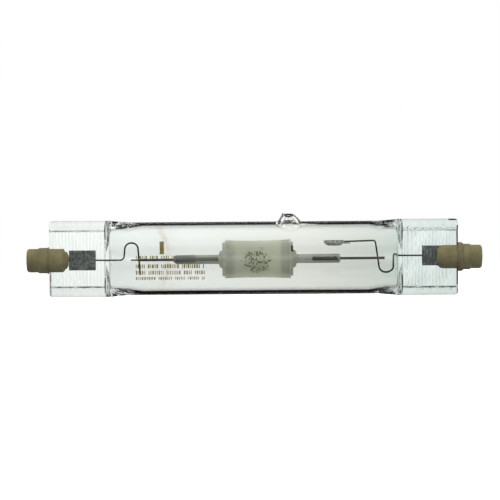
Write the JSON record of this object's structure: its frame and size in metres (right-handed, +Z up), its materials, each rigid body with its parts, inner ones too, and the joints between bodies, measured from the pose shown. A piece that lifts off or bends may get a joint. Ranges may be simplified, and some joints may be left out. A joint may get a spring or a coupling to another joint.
{
  "type": "metal halide lamp",
  "caption": "Double-ended metal halide lamp: clear quartz tube pinched flat at both ends, slotted ceramic caps with recessed contacts, and a ceramic arc tube held by bent leads.",
  "frame": {"origin": "bottom centre: midway between the outer ends of the caps, on the lamp's middle plane, at the lower edges of the pinches", "axes": "+X along the lamp towards the end with the cement bead, +Z up towards the tip-off, +Y to the back, so that the flat pinches lie in the XZ plane"},
  "size_m": [0.1372, 0.0226, 0.0251],
  "materials": {
    "quartz": "fire-polished clear quartz, ribbed where it was pressed",
    "cap_ceramic": "unglazed pressed steatite, khaki",
    "cement": "baked ceramic cement, matt",
    "contact_metal": "dull nickel",
    "molybdenum": "drawn molybdenum wire, darkened",
    "foil": "etched molybdenum foil melted into glass",
    "alumina": "translucent sintered alumina",
    "niobium": "drawn niobium, dull grey",
    "frit": "glassy sealing frit, grey-green",
    "tungsten": "tungsten, matt grey",
    "getter_metal": "stamped nickel-plated iron, darkened",
    "getter_powder": "pressed dark grey powder",
    "halide_salt": "condensed salts, olive yellow",
    "mercury": "liquid mercury"
  },
  "bodies": {
    "root": {"quartz_envelope": "quartz", "left_ceramic_cap": "cap_ceramic", "right_ceramic_cap": "cap_ceramic", "left_cap_cement": "cement", "right_cap_cement": "cement", "left_contact_button": "contact_metal", "right_contact_button": "contact_metal", "left_outer_lead": "molybdenum", "right_outer_lead": "molybdenum", "left_foil": "foil", "right_foil": "foil", "left_inner_lead": "molybdenum", "right_inner_lead": "molybdenum", "arc_tube_barrel": "alumina", "left_plug_and_leg": "alumina", "right_plug_and_leg": "alumina", "left_niobium_rod": "niobium", "right_niobium_rod": "niobium", "left_frit_seal": "frit", "right_frit_seal": "frit", "left_mandrel": "molybdenum", "right_mandrel": "molybdenum", "left_overwind": "molybdenum", "right_overwind": "molybdenum", "left_electrode_shank": "tungsten", "right_electrode_shank": "tungsten", "left_electrode_coil": "tungsten", "right_electrode_coil": "tungsten", "getter_dish": "getter_metal", "getter_fill": "getter_powder", "halide_film": "halide_salt", "mercury_drop": "mercury"}
  },
  "joints": []
}
